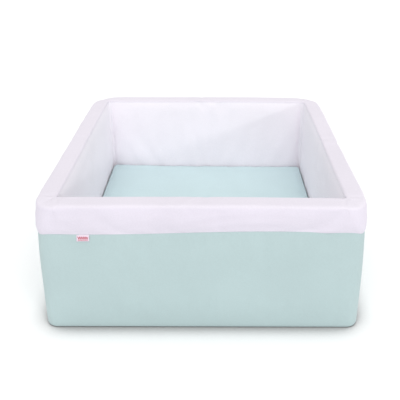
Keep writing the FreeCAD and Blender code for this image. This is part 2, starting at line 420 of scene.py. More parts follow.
def jersey(name, colour, painted_light_steps=()):
    """Fine cotton jersey: columns of small V stitches with painted shade in the hollows between them, a
    little fuzz, a barely uneven dye and, where asked, painted light and shade as lighter or darker copies
    of the colour along the cloth.
    """
    n = Nodes(name)
    solid = n.object_place()
    across, along = n.cloth_place()
    wale = n.math("FRACT", n.math("MULTIPLY", across, 1.0 / STITCH_WIDTH))
    course = n.math("MULTIPLY", along, 1.0 / STITCH_HEIGHT)
    off_middle = n.math("ABSOLUTE", n.math("SUBTRACT", wale, 0.5))
    slant = n.math("MULTIPLY_ADD", off_middle, 1.3, course)
    legs = n.math("ABSOLUTE", n.math("SINE", n.math("MULTIPLY", slant, math.pi)))
    gutter = n.math("SUBTRACT", 1.0, n.math("POWER", n.math("MULTIPLY", off_middle, 2.0), 3.0))
    loops = n.math("MULTIPLY", n.math("MULTIPLY_ADD", legs, 0.6, 0.4), gutter)
    patches = n.noise(solid, 6.0, 3.0, 0.55)
    heather = n.noise(solid, 240.0, 2.0, 0.6)
    fuzz = n.noise(solid, 900.0, 4.0, 0.7)
    base = n.ramp(patches, [(0.3, tinted(colour, 0.975)), (0.7, tinted(colour, 1.02))])
    # Painted light and shade: lighter or darker copies of the colour along the cloth.
    for painted_light_start, width, lit_or_shaded_copy in painted_light_steps:
        base = painted_light_step(n, along, painted_light_start, width, base, patches, lit_or_shaded_copy)
    speckle = n.ramp(heather, [(0.35, (0.9, 0.9, 0.9)), (0.65, (1.0, 1.0, 1.0))])
    base = n.mix(0.3, base, speckle, "MULTIPLY")
    # Painted shade: darker in the hollows between the stitches.
    stitch_gap_shade = n.ramp(loops, [(0.0, (0.88, 0.88, 0.89)), (0.45, (1.0, 1.0, 1.0))])
    base = n.mix(0.6, base, stitch_gap_shade, "MULTIPLY")
    normal = n.bump(loops, 0.25 * MM, 0.35)
    normal = n.bump(fuzz, 0.2 * MM, 0.25, normal)
    return n.surface(base, normal, Roughness=0.92, Sheen_Weight=0.2, Sheen_Roughness=0.45,
                     Specular_IOR_Level=0.15)


def foam_material():
    """Open-cell foam: small pores all over, painted darker inside as painted shade."""
    n = Nodes("foam")
    place = n.object_place()
    cells = n.add("ShaderNodeTexVoronoi", {"Vector": place, "Scale": 700.0}).outputs["Distance"]
    tone = n.noise(place, 12.0)
    # Painted shade: darker in the pores.
    pore_shade = n.ramp(cells, [(0.0, (0.62, 0.56, 0.42)), (0.5, (0.86, 0.80, 0.66))])
    patches = n.ramp(tone, [(0.3, (0.80, 0.73, 0.58)), (0.7, (0.90, 0.84, 0.70))])
    return n.surface(n.mix(0.3, pore_shade, patches), n.bump(cells, 0.5 * MM, 0.6), Roughness=0.95)


def zip_tape_material():
    """Narrow twill tape: a herringbone of fine diagonal ribs, with painted shade in the grooves between
    them.
    """
    n = Nodes("zip_tape")
    place = n.object_place()
    split = n.add("ShaderNodeSeparateXYZ", {0: place})
    band = n.math("PINGPONG", split.outputs["Z"], 1.5 * MM)
    slant = n.math("ADD", split.outputs["X"], band)
    ribs = n.math("SINE", n.math("MULTIPLY", slant, 2.0 * math.pi / (0.8 * MM)))
    height = n.math("MULTIPLY_ADD", ribs, 0.5, 0.5)
    # Painted shade: darker in the grooves between the ribs.
    base = n.ramp(height, [(0.0, (0.44, 0.57, 0.58)), (0.7, (0.56, 0.70, 0.71))])
    wear = n.math("MULTIPLY", n.noise(place, 60.0), 0.25)
    base = n.mix(wear, base, (0.48, 0.60, 0.61))
    return n.surface(base, n.bump(height, 0.15 * MM, 0.6), Roughness=0.75, Sheen_Weight=0.15)


def zip_plastic():
    """The nylon of the coils."""
    n = Nodes("zip_coil")
    place = n.object_place()
    tone = n.noise(place, 120.0)
    base = n.ramp(tone, [(0.3, (0.55, 0.68, 0.69)), (0.7, (0.64, 0.77, 0.78))])
    return n.surface(base, n.bump(tone, 0.1 * MM, 0.2), Roughness=0.4)


def zip_metal():
    """Painted die-cast zinc: a little orange peel, rubbed brighter in places."""
    n = Nodes("zip_metal")
    place = n.object_place()
    peel = n.noise(place, 1500.0, 2.0)
    rub = n.noise(place, 180.0, 5.0, 0.65)
    base = n.ramp(rub, [(0.35, (0.60, 0.62, 0.63)), (0.7, (0.76, 0.77, 0.78))])
    rough = n.math("MULTIPLY_ADD", rub, 0.25, 0.2)
    n.tree.links.new(rough, n.shader.inputs["Roughness"])
    return n.surface(base, n.bump(peel, 0.05 * MM, 0.3), Metallic=0.85)


def thread(name, colour):
    """Twisted sewing thread."""
    n = Nodes(name)
    twist = n.noise(n.object_place(), 2500.0, 2.0)
    base = n.ramp(twist, [(0.3, tinted(colour, 0.85)), (0.7, tinted(colour, 1.05))])
    return n.surface(base, n.bump(twist, 0.1 * MM, 0.4), Roughness=0.6, Sheen_Weight=0.2)


def label_material():
    """Satin-woven label with a plain ornament: a wavy red line over a row of red dashes; painted shade
    between the threads of the weave.
    """
    n = Nodes("woven_label")
    across, along = n.cloth_place()
    warp = n.math("SINE", n.math("MULTIPLY", across, 2.0 * math.pi / (0.35 * MM)))
    weft = n.math("SINE", n.math("MULTIPLY", along, 2.0 * math.pi / (0.3 * MM)))
    threads = n.math("MULTIPLY_ADD", n.math("MULTIPLY", warp, weft), 0.5, 0.5)
    swing = n.math("SINE", n.math("MULTIPLY", across, 2.0 * math.pi / (5.4 * MM)))
    wave = n.math("MULTIPLY", swing, 2.3 * MM)
    from_wave = n.math("ABSOLUTE", n.math("SUBTRACT", n.math("SUBTRACT", along, 9.0 * MM), wave))
    on_wave = n.math("LESS_THAN", from_wave, 2.3 * MM)
    from_row = n.math("ABSOLUTE", n.math("SUBTRACT", along, 15.0 * MM))
    beat = n.math("SINE", n.math("MULTIPLY", across, 2.0 * math.pi / (2.7 * MM)))
    dash = n.math("GREATER_THAN", beat, -0.45)
    on_row = n.math("MULTIPLY", n.math("LESS_THAN", from_row, 1.3 * MM), dash)
    from_side = n.math("ABSOLUTE", n.math("SUBTRACT", across, 17.0 * MM))
    inside = n.math("LESS_THAN", from_side, 13.4 * MM)
    red = n.math("MULTIPLY", n.math("MAXIMUM", on_wave, on_row), inside)
    # Painted shade: darker between the threads of the weave.
    ground = n.ramp(threads, [(0.0, tinted(LABEL, 0.88)), (0.7, LABEL)])
    base = n.mix(red, ground, LABEL_RED)
    return n.surface(base, n.bump(threads, 0.1 * MM, 0.5), Roughness=0.45, Sheen_Weight=0.1)


def finish_piece(piece, material, body, slot, *nodes):
    """Material, body and the CAD nodes that a piece stands for, and no body when none is given. The slot
    is not used.
    """
    piece.data.materials.clear()
    piece.data.materials.append(MATERIALS[material])
    if nodes:
        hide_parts(*nodes)
    if body:
        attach(piece, body)
    return piece


# ---- the wall's grid

def arc(centre, radius, start, end, steps):
    """Points on an arc in the (inset, height) plane, angles in degrees."""
    angles = np.radians(np.linspace(start, end, steps + 1))
    return [(centre[0] + radius * math.cos(a), centre[1] + radius * math.sin(a)) for a in angles]


def run(a, b, step, extra=()):
    """Places from a to b, not counting a, evenly spaced but for the extra ones asked for."""
    count = max(1, round(abs(b - a) / step))
    spaced = [a + (b - a) * i / count for i in range(1, count)]
    inside = [e for e in extra if min(a, b) < e < max(a, b)]
    clear = [s for s in spaced if all(abs(s - e) > 0.3 * step for e in inside)]
    return sorted(clear + inside, reverse=b < a) + [b]


def wall_profile(inset=0.0):
    """The closed section of the wall as (inset, height), from the outer foot over the rim and back."""
    near_seam = [SEAM + sign * away for away in SEAM_ROWS for sign in (-1, 1)]
    rim = RIM - inset
    outer, inner = inset, WALL - inset
    foot_out, foot_in = FOOT_OUTER_ROUND - inset, FOOT_INNER_ROUND - inset
    foot_out, foot_in = max(foot_out, 1 * MM), max(foot_in, 1 * MM)
    rim_out, rim_in = RIM_OUTER_ROUND - inset, RIM_INNER_ROUND - inset
    points = arc((outer + foot_out, inset + foot_out), foot_out, 270, 180, 3)
    below = [WALL_ZIP[0].z, WALL_ZIP[1].z] + near_seam
    points += [(outer, z) for z in run(inset + foot_out, SEAM, ROW_STEP, below)]
    points += [(outer, z) for z in run(SEAM, rim - rim_out, ROW_STEP, near_seam)]
    points += arc((outer + rim_out, rim - rim_out), rim_out, 180, 90, 6)[1:]
    points += [(x, rim) for x in run(outer + rim_out, inner - rim_in, 6 * MM)]
    points += arc((inner - rim_in, rim - rim_in), rim_in, 90, 0, 4)[1:]
    points += [(inner, z) for z in run(rim - rim_in, inset + foot_in, ROW_STEP)]
    points += arc((inner - foot_in, inset + foot_in), foot_in, 0, -90, 2)[1:]
    under = np.linspace(inner - foot_in, outer + foot_out, UNDER_ROWS + 2)[1:-1]
    return points + [(x, inset) for x in under]


def side_columns():
    """Places along one side, as (share of the straight, angle past its end)."""
    straight = HALF - OUTER_CORNER
    zip_share = WALL_ZIP[1].x / straight
    count = round(2.0 * WALL_ZIP[1].x / COLUMN_STEP)
    shares = [zip_share * (2.0 * i / count - 1.0) for i in range(count + 1)]
    ends = [1.0] + [1.0 - away / straight for away in CORNER_COLUMNS]
    shares = sorted(shares + ends + [-end for end in ends])
    turns = [45.0 * i / CORNER_STEPS for i in range(1, CORNER_STEPS + 1)]
    left = [(-1.0, -turn) for turn in reversed(turns)]
    right = [(1.0, turn) for turn in turns[:-1]]
    return left + [(share, 0.0) for share in shares] + right


def on_wall(side, share, turn, inset, height, slack=0.0):
    """A point of the plain wall; slack makes the outer corners rounder."""
    corner = side if share < 0.0 else (side + 1) % 4
    outer = OUTER_CORNER + slack + RIM_CORNER_EASE[corner] * smooth((height - SEAM) / (RIM - SEAM))
    radius = max(outer - (outer - SMALLEST_CORNER) * inset / WALL, SMALLEST_CORNER)
    reach = HALF - inset - radius
    angle = math.radians(turn)
    x = share * reach + radius * math.sin(angle)
    y = -(reach + radius * math.cos(angle))
    quarter = side * math.pi / 2.0
    c, s = math.cos(quarter), math.sin(quarter)
    return (c * x - s * y, s * x + c * y, height)


def slump(points):
    """How the rim's outer corners sink."""
    x, y, z = points.T
    from_corner = np.hypot(HALF - np.abs(x), HALF - np.abs(y))
    up = smooth((z - SEAM - 10 * MM) / (RIM - SEAM - 15 * MM))
    sink = CORNER_SLUMP * bell(from_corner, 60 * MM) * up
    return np.stack([-0.3 * np.sign(x) * sink, -0.3 * np.sign(y) * sink, -sink], axis=1)


def soften(points):
    """The set of the soft pen: walls drawn in a little at the rim and never quite straight."""
    p = np.array(points, float)
    p += slump(p)
    x, y, z = p.T
    rise = smooth(z / RIM)
    along_x = 1.0 - np.abs(x / HALF) ** 3
    along_y = 1.0 - np.abs(y / HALF) ** 3
    out_x = np.sign(x) * smooth((np.abs(x) - 0.2) / 0.15)
    out_y = np.sign(y) * smooth((np.abs(y) - 0.2) / 0.15)
    lean_x = np.where(x > 0.0, RIGHT_LEAN, LEAN)
    x_move = -lean_x * x / HALF * rise + 1.5 * MM * np.sin(5.0 * y + 0.6) * along_y * out_x * rise
    y_move = -LEAN * y / HALF * rise + 1.5 * MM * np.sin(4.0 * x - 0.4) * along_x * out_y * rise
    z_move = 1.2 * MM * rise * (np.sin(6.5 * x + 1.0) * along_x + np.sin(5.5 * y) * along_y)
    z_move += 1.5 * MM * rise * smooth(y / 0.3)
    return p + np.stack([x_move, y_move, z_move], axis=1)


def running(points):
    """Distance along a run of points."""
    steps = [math.dist(a, b) for a, b in zip(points, points[1:])]
    return np.concatenate([[0.0], np.cumsum(steps)])


def wall_points(profile, columns, side, slack=0.0):
    """Points by [row][column] on one side."""
    return [[on_wall(side, share, turn, *place, slack) for share, turn in columns] for place in profile]


PROFILE = wall_profile()
COLUMNS = side_columns()
ROWS = len(PROFILE)
PER_SIDE = len(COLUMNS)
AROUND = 4 * PER_SIDE
INSETS = np.array([inset for inset, height in PROFILE])
HEIGHTS = np.array([height for inset, height in PROFILE])
TURN = np.array([turn for side in range(4) for share, turn in COLUMNS])
SEAM_ROW = int(np.argmin(np.abs(HEIGHTS - SEAM) + INSETS))
LINING_FOOT_ROW = ROWS - UNDER_ROWS - 1
PLAIN = np.concatenate([np.array(wall_points(PROFILE, COLUMNS, side)) for side in range(4)], axis=1)
ALONG = running([*PLAIN[FACE_ROW], PLAIN[FACE_ROW, 0]])
ACROSS = running(PROFILE + PROFILE[:1])
# Where the painted shade of the outer band ends and the painted light of the lining begins, along the
# cloth.
RIM_OUTER_EDGE = float(ACROSS[np.argmax(HEIGHTS > RIM - 0.7 * RIM_OUTER_ROUND)])
RIM_INNER_EDGE = float(ACROSS[np.flatnonzero((HEIGHTS > RIM - 1e-6) & (INSETS > 0.5 * WALL))[-1]])


def outward(grid):
    """Outward direction at each grid point."""
    along = np.roll(grid, -1, axis=1) - np.roll(grid, 1, axis=1)
    across = np.roll(grid, -1, axis=0) - np.roll(grid, 1, axis=0)
    out = np.cross(along, across)
    return out / np.maximum(np.linalg.norm(out, axis=2, keepdims=True), 1e-12)


def seam_relief(gap):
    """How far the cover stands out near the seam: drawn in at it, with a bulging band above."""
    drawn = SEAM_PINCH * np.exp(np.where(gap < 0.0, gap / (40 * MM), -gap / (12 * MM)))
    bulge = BAND_PROUD * np.sin(math.pi * np.clip(gap / (RIM - SEAM), 0.0, 1.0))
    return bulge - drawn


def relief():
    """How far each point stands off the plain wall before the cover swells."""
    off = np.zeros((ROWS, AROUND))
    x, y = PLAIN[:, :, 0], PLAIN[:, :, 1]
    from_mitre = np.abs(np.abs(x) - np.abs(y)) / math.sqrt(2.0)
    back_left = (x < 0.0) & (y > 0.0)
    rolled = np.where(back_left, 1.0, 0.6)
    for row, (inset, height) in enumerate(PROFILE):
        if inset < RIM_OUTER_ROUND and height > FOOT_OUTER_ROUND:
            fade = 1.0 - smooth((height - RIM + RIM_OUTER_ROUND) / RIM_OUTER_ROUND)
            off[row] += seam_relief(height - SEAM) * fade
        if inset > 3 * MM and height > RIM - RIM_OUTER_ROUND:
            off[row] -= MITRE_GROOVE * bell(from_mitre[row], 4.5 * MM)
        if inset > WALL - 1e-6:
            depth = smooth((RIM - height) / (60 * MM)) * rolled[row]
            off[row] += CORNER_ROLL * depth * bell(from_mitre[row], 3.8 * MM)
            off[row] -= CORNER_CREASE * depth * bell(from_mitre[row] - 6.7 * MM, 2.0 * MM)
    return off


def seam_wave(x, y):
    """How far the seam strays up or down round the pen."""
    around = x + 1.3 * y
    slow = 0.15 + np.sin(5.9 * (around + 0.62))
    from_corner = np.hypot(HALF - np.abs(x), HALF - np.abs(y))
    dips = 3 * MM * bell(around + 0.25, 30 * MM) + CORNER_DIP * bell(from_corner, 22 * MM)
    return SEAM_WAVE * slow - dips


def shaped_grid():
    """The cover before it swells: seams pulled in and the set of the walls applied."""
    grid = PLAIN + outward(PLAIN) * relief()[:, :, None]
    for row, (inset, height) in enumerate(PROFILE):
        if inset < 1e-6:
            near = bell(height - SEAM, 60 * MM) * smooth(height / 0.1)
            grid[row, :, 2] += seam_wave(PLAIN[row, :, 0], PLAIN[row, :, 1]) * near
    return soften(grid.reshape(-1, 3)).reshape(grid.shape)


def held_share():
    """How firmly each grid point is held while the cover swells."""
    hold = np.full((ROWS, AROUND), 0.06)
    outside = INSETS < 1e-6
    lining = (INSETS > WALL - 1e-6) & (HEIGHTS < RIM - RIM_INNER_ROUND)
    rim = (INSETS > 3 * MM) & (HEIGHTS > RIM - RIM_OUTER_ROUND)
    at_mitre = np.abs(np.abs(TURN) - 45.0) < 1e-6
    hold[lining] = 0.12
    hold[rim] = 0.2
    hold[:FACE_ROW] = 1.0
    hold[LINING_FOOT_ROW - 1:] = 1.0
    hold[SEAM_ROW] = 1.0
    hold[np.ix_(rim, at_mitre)] = 0.9
    hold[np.ix_(lining, np.abs(TURN) > 1e-6)] = 0.9
    hold[np.ix_(outside, np.abs(TURN) > 1e-6)] = 0.6
    hold[outside & (HEIGHTS < WALL_ZIP[1].z + 1e-6)] = 1.0
    # The lining stays flat behind the mat's zip, so that they don't touch.
    behind_mat_zip = lining & (HEIGHTS < MAT_ZIP[1].z + 20 * MM)
    at_back = np.repeat([side == "back" for side in SIDES], PER_SIDE)
    hold[np.ix_(behind_mat_zip, at_back)] = 1.0
    return hold


def swollen_grid():
    """The cover after it has swelled like cloth over the foam."""
    grid = shaped_grid()
    form = new_mesh("cover_form", grid.reshape(-1, 3), quads(ROWS, AROUND, True, True))
    cloth(form, held_share().ravel(), COVER_PRESSURE)
    result = points_of(form).reshape(grid.shape)
    bpy.data.objects.remove(form)
    return result


COVER = swollen_grid()
MATERIALS = {
    # The white jersey is painted darker on the outer band as painted shade and lighter on the lining as
    # painted light, with the plain white on the rim between.
    "white_jersey": jersey("white_jersey", SHADED_BAND_WHITE, [
        (RIM_OUTER_EDGE - 4 * MM, 8 * MM, WHITE),
        (RIM_INNER_EDGE + 6 * MM, 10 * MM, LIT_LINING_WHITE),
    ]),
    "mint_jersey": jersey("mint_jersey", MINT),
    "mat_jersey": jersey("mat_jersey", MAT_MINT),
    "foam": foam_material(),
    "zip_tape": zip_tape_material(),
    "zip_coil": zip_plastic(),
    "zip_metal": zip_metal(),
    "woven_label": label_material(),
    "mint_thread": thread("mint_thread", (0.60, 0.75, 0.76)),
}


# ---- the cover's pieces

def tag_folds(x, z):
    """A fold that the label draws across the skirt, and the hollow under it."""
    tag_x = (TAG_LOW.x + TAG_HIGH.x) / 2.0
    under_tag = z - (TAG_LOW.z - 9 * MM + 0.22 * (x - tag_x))
    shape = TAG_FOLD * bell(under_tag, 8 * MM) - 0.5 * MM * bell(under_tag + 13 * MM, 8 * MM)
    return bell(x - tag_x - 8 * MM, 34 * MM) * shape


def mitre_gathers(x, y, z, from_mitre):
    """Short gathers on the rim, beside each mitre seam."""
    in_from_edge = HALF - np.minimum(np.abs(x), np.abs(y))
    on_top = smooth((z - RIM + 6 * MM) / (3 * MM))
    beside = smooth((in_from_edge - 22 * MM) / (10 * MM)) * bell(from_mitre - 6 * MM, 8 * MM)
    return MITRE_GATHER * on_top * beside * np.sin(2.0 * math.pi * in_from_edge / (13 * MM))


def folds(co):
    """How far the cover stands out in small wrinkles, mostly drawn by the seam, label and mitres."""
    x, y, z = co.T
    outside = smooth((np.maximum(np.abs(x), np.abs(y)) - HALF + 14 * MM) / (6 * MM))
    outside *= smooth((z - 60 * MM) / (60 * MM))
    gap = z - SEAM - seam_wave(x, y)
    around = x + 1.3 * y
    patch = 0.5 + 0.5 * np.sin(11.0 * around + 0.8)
    ripple = np.sin(96.0 * around + 1.6 * np.sin(13.0 * around) + 35.0 * gap)
    near_seam = np.where(gap < 0, np.exp(gap / (20 * MM)), np.exp(-gap / (14 * MM)))
    drawn = SEAM_RIPPLE * ripple * patch * near_seam
    band = smooth(gap / (15 * MM))
    drag = BAND_DRAG * band * np.sin(210.0 * z + 9.0 * np.sin(6.0 * around + 1.0)) * (0.4 + patch)
    skirt = smooth(-gap / (40 * MM))
    slack = SKIRT_SLACK * skirt * np.sin(17.0 * around + 21.0 * z) * np.sin(9.0 * z + 5.0 * around)
    front = smooth((-y - HALF + 20 * MM) / (10 * MM))
    by_right = x - 0.365
    below_seam = gap + 10 * MM + 0.1 * by_right
    right_fold = -RIGHT_FOLD * bell(by_right, 32 * MM) * bell(below_seam, 6 * MM)
    from_mitre = np.abs(np.abs(x) - np.abs(y)) / math.sqrt(2.0)
    standing = outside * (drawn + drag + slack) + front * (tag_folds(x, z) + right_fold)
    standing += mitre_gathers(x, y, z, from_mitre)
    return standing * smooth((from_mitre + 0.5 * MM) / (5 * MM))


def cut_piece(name, rows, columns, skip=None):
    """A sewn piece of the cover: part of the grid, with its edges turned in."""
    cover = np.array([[COVER[r % ROWS, c % AROUND] for c in columns] for r in rows])
    u = [ALONG[c % AROUND] + ALONG[-1] * (c // AROUND) for c in columns]
    v = [ACROSS[r % ROWS] + ACROSS[-1] * (r // ROWS) for r in rows]
    place = np.array([(a, b) for b in v for a in u])
    wide = len(columns)
    faces = quads(len(rows), wide)
    if skip:
        faces = [f for f in faces if not skip(rows[f[0] // wide], columns[f[0] % wide])]
    points, faces, uv = drop_unused(cover.reshape(-1, 3), faces, place)
    return new_mesh(name, points, faces, uv)


def in_wall_slot(row, column):
    """Whether the grid's face from this row and column lies in the slot of the wall's zip."""
    column %= AROUND
    after = (column + 1) % AROUND
    if SIDES[column // PER_SIDE] != "back" or INSETS[row + 1] > 1e-6:
        return False
    level = (HEIGHTS[row] + HEIGHTS[row + 1]) / 2.0
    middle = (PLAIN[row, column, 0] + PLAIN[row, after, 0]) / 2.0
    return WALL_ZIP[0].z < level < WALL_ZIP[1].z and abs(middle) < WALL_ZIP[1].x


def by_wall_slot(co):
    """Whether a point is on the edge of the slot of the wall's zip."""
    spare = 0.1 * MM
    in_height = WALL_ZIP[0].z - spare < co.z < WALL_ZIP[1].z + spare
    return co.y > HALF - 1 * MM and in_height and abs(co.x) < WALL_ZIP[1].x + spare


def make_skirt():
    """The mint skirt in one strip, closed at the back left corner."""
    start = SIDES.index("left") * PER_SIDE
    skirt = cut_piece("skirt", range(SEAM_ROW + 1), range(start, start + AROUND + 1), in_wall_slot)
    turn_in(skirt, leave=by_wall_slot)
    thicken(skirt, folds)
    finish_piece(skirt, "mint_jersey", "wall_ring", "mint_jersey", "outer_skirt")


def make_sleeves():
    """A white sleeve over the rim of each side and a mint strip under its foam."""
    for index, side in enumerate(SIDES):
        columns = range(index * PER_SIDE, (index + 1) * PER_SIDE + 1)
        sleeve = cut_piece("sleeve_" + side, range(SEAM_ROW, LINING_FOOT_ROW + 1), columns)
        turn_in(sleeve, flush_ends=True)
        thicken(sleeve, folds)
        finish_piece(sleeve, "white_jersey", "wall_ring", "white_jersey", "rim_sleeve_" + side)
        strip = cut_piece("under_strip_" + side, range(LINING_FOOT_ROW, ROWS + 1), columns)
        thicken(strip)
        finish_piece(strip, "mint_jersey", "wall_ring", "mint_jersey", "base_strip_" + side)


def foam_boards():
    """The boards inside the cover, mitred at the corners."""
    profile = [
        (inset + SEAM_PINCH * float(bell(height - SEAM, 45 * MM)) * (inset < 1.5 * FOAM_INSET), height)
        for inset, height in wall_profile(FOAM_INSET)
    ]
    columns = side_columns() + [(1.0, 45.0)]
    wide = len(columns)
    rows = len(profile)
    for index, side in enumerate(SIDES):
        points = soften(np.array(wall_points(profile, columns, index, FOAM_SLACK)).reshape(-1, 3))
        faces = quads(rows, wide, closed_rows=True)
        faces.append([r * wide for r in range(rows)])
        faces.append([r * wide + wide - 1 for r in reversed(range(rows))])
        board = new_mesh("foam_board_" + side, points, faces)
        finish_piece(board, "foam", "wall_ring", "foam", "foam_" + side)


# ---- the mat

def block_lines(low, high, low_round, high_round, step, marks=()):
    """Grid lines from low to high, close together on the rounded edges."""
    inner_low, inner_high = low + low_round, high - high_round
    turns = [math.tan(math.radians(45.0 * i / EDGE_STEPS)) for i in range(1, EDGE_STEPS + 1)]
    start = [inner_low - low_round * t for t in reversed(turns)] + [inner_low]
    return start + run(inner_low, inner_high, step, marks) + [inner_high + high_round * t for t in turns]


class Block:
    """A closed block with rounded edges as an even grid; sharp is where each point is with sharp edges."""

    def __init__(self, half, low, high, corner, foot_round, top_round, step, across=(), levels=()):
        lines = block_lines(-half, half, corner, corner, step, across)
        self.lines = (lines, lines, block_lines(low, high, foot_round, top_round, step, levels))
        self.index = {}
        self.faces = []
        for axis in range(3):
            for value in (self.lines[axis][0], self.lines[axis][-1]):
                self.patch(axis, value)
        sharp = np.array(list(self.index))
        core_low = np.array([corner - half, corner - half, low + foot_round])
        core_high = np.array([half - corner, half - corner, high - top_round])
        core = np.clip(sharp, core_low, core_high)
        rounds = np.where(sharp > core, (corner, corner, top_round), (corner, corner, foot_round))
        way = (sharp - core) / rounds
        way /= np.linalg.norm(way, axis=1, keepdims=True)
        self.sharp = sharp
        self.points = core + way * rounds

    def point(self, place):
        key = tuple(round(v, 7) for v in place)
        return self.index.setdefault(key, len(self.index))

    def patch(self, axis, value):
        """The quads of one face of the block."""
        a, b = (axis + 1) % 3, (axis + 2) % 3
        high = value == self.lines[axis][-1]
        for a0, a1 in zip(self.lines[a], self.lines[a][1:]):
            for b0, b1 in zip(self.lines[b], self.lines[b][1:]):
                ring = [(a0, b0), (a1, b0), (a1, b1), (a0, b1)]
                face = []
                for at_a, at_b in ring if high else reversed(ring):
                    place = [0.0, 0.0, 0.0]
                    place[axis], place[a], place[b] = value, at_a, at_b
                    face.append(self.point(place))
                self.faces.append(face)


def mat_block():
    """The mat as one closed block with lines along its seams and its zip, a little small at first."""
    levels = (MAT_FOOT_SEAM, MAT_ZIP[0].z, MAT_ZIP[1].z, MAT_TOP_SEAM - 4 * MM, MAT_TOP_SEAM,
              MAT_TOP_SEAM + 3 * MM)
    return Block(MAT_HALF - MAT_SPARE, 0.0, MAT_TOP, corner=15 * MM, foot_round=5 * MM, top_round=8 * MM,
                 step=ROW_STEP, across=(MAT_ZIP[0].x, MAT_ZIP[1].x), levels=levels)


def mat_shape(block):
    """The block's points pulled in at the seams, then swollen like cloth over foam."""
    half = MAT_HALF - MAT_SPARE
    x, y, z = block.points.T
    at_side = np.maximum(np.abs(x), np.abs(y)) > half - 1 * MM
    # The back face stays where the CAD's zip is.
    to_zip = smooth((y - half + 14 * MM) / (10 * MM)) * smooth((MAT_TOP_SEAM - 8 * MM - z) / (12 * MM))
    to_zip *= smooth((z - MAT_FOOT_SEAM) / (10 * MM))
    out_x = np.where(np.abs(x) > half - 1 * MM, np.sign(x), 0.0)
    out_y = np.where(np.abs(y) > half - 1 * MM, np.sign(y), 0.0)
    pinch = 0.9 * MM * bell(z - MAT_TOP_SEAM, 3 * MM)
    points = block.points.copy()
    points[:, 0] -= out_x * pinch
    points[:, 1] -= out_y * pinch
    points[:, 1] += to_zip * (MAT_SPARE - 0.2 * MM)
    top = smooth((z - MAT_TOP + 20 * MM) / (12 * MM))
    points[:, 2] += top * 0.9 * MM * (np.sin(9.0 * x + 0.4) + np.sin(7.0 * y + 1.9 + 3.0 * x))
    points[:, 2] += top * MAT_LOFT * smooth((y + 0.1) / 0.5) * (0.4 + 0.6 * smooth((0.15 - x) / 0.5))
    hold = np.where(at_side, 0.3, 0.10)
    hold[np.abs(z - MAT_TOP_SEAM) < 0.5 * MM] = 0.9
    hold[z < MAT_FOOT_SEAM + 1 * MM] = 1.0
    hold[(to_zip > 0.05) & (z > MAT_ZIP[0].z - 14 * MM) & (z < MAT_ZIP[1].z + 14 * MM)] = 1.0
    form = new_mesh("mat_form", points, block.faces)
    cloth(form, hold, MAT_PRESSURE)
    points = points_of(form)
    bpy.data.objects.remove(form)
    return points


def mat_panel(name, block, points, wanted, leave=None):
    """The faces of the mat that pass a test on their middle on the sharp block, as a hemmed cloth."""
    faces = [f for f in block.faces if wanted(block.sharp[f].mean(axis=0))]
    points, faces, sharp = drop_unused(points, faces, block.sharp)
    panel = new_mesh(name, points, faces, np.zeros((len(points), 2)))
    layer = panel.data.uv_layers["cloth"]
    for polygon in panel.data.polygons:
        way = [abs(v) for v in polygon.normal]
        axis = way.index(max(way))
        a, b = ((1, 2), (0, 2), (0, 1))[axis]
        for corner in polygon.loop_indices:
            co = panel.data.vertices[panel.data.loops[corner].vertex_index].co
            layer.data[corner].uv = (co[a], co[b])
    turn_in(panel, 2 * MM, leave)
    thicken(panel)
    return panel


def in_mat_slot(middle):
    return (middle[1] > MAT_HALF - 2 * MAT_SPARE and abs(middle[0]) < MAT_ZIP[1].x
            and MAT_ZIP[0].z < middle[2] < MAT_ZIP[1].z)


def by_mat_slot(co):
    """Whether a point is on the edge of the slot of the mat's zip."""
    spare = 0.3 * MM
    in_height = MAT_ZIP[0].z - spare < co.z < MAT_ZIP[1].z + spare
    return co.y > MAT_HALF - 2 * MAT_SPARE and in_height and abs(co.x) < MAT_ZIP[1].x + spare


def make_mat():
    """Foam block, top panel, border and bottom panel of the mat."""
    block = mat_block()
    points = mat_shape(block)
    side = 2.0 * MAT_HALF
    top = mat_panel("mat_top", block, points, lambda m: m[2] > MAT_TOP_SEAM)
    bottom = mat_panel("mat_bottom", block, points, lambda m: m[2] < MAT_FOOT_SEAM)
    border = mat_panel(
        "mat_band", block, points,
        lambda m: MAT_FOOT_SEAM < m[2] < MAT_TOP_SEAM and not in_mat_slot(m),
        by_mat_slot,
    )
    drop = MAT_TOP - MAT_TOP_SEAM
    panels = (
        (top, "mat_cover_top", (side + 2 * drop, side + 2 * drop)),
        (border, "mat_border", (4 * side, MAT_TOP_SEAM - MAT_FOOT_SEAM)),
        (bottom, "mat_cover_bottom", (side + 2 * MAT_FOOT_SEAM, side + 2 * MAT_FOOT_SEAM)),
    )
    for panel, node, flat in panels:
        finish_piece(panel, "mat_jersey", "mat", "mat_jersey", node)
    inset = MAT_SPARE + 4 * MM
    core = Block(MAT_HALF - inset, 2.5 * MM, MAT_TOP - inset, corner=14 * MM, foot_round=4 * MM,
                 top_round=8 * MM, step=40 * MM)
    foam = new_mesh("mat_core", core.points, core.faces)
    finish_piece(foam, "foam", "mat", "foam", "mat_foam")


# ---- zips

def coil(name, node, body):
    """One side of a zip chain: a flattened helix of nylon wire."""
    low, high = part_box(node)
    turns = int((high.x - low.x - 2 * COIL_WIRE) / COIL_PITCH)
    count = turns * COIL_POINTS + 1
    angle = np.arange(count) * 2.0 * math.pi / COIL_POINTS
    half_y = (high.y - low.y) / 2.0 - COIL_WIRE
    half_z = (high.z - low.z) / 2.0 - COIL_WIRE
    line = np.stack([
        np.linspace(low.x + COIL_WIRE, high.x - COIL_WIRE, count),
        (low.y + high.y) / 2.0 + half_y * np.sin(angle),
        (low.z + high.z) / 2.0 + half_z * np.cos(angle),
    ], axis=1)
    points, faces = tube_mesh(line, COIL_WIRE, WIRE_SIDES)
    return finish_piece(new_mesh(name, points, faces), "zip_coil", body, "zip_coil", node)


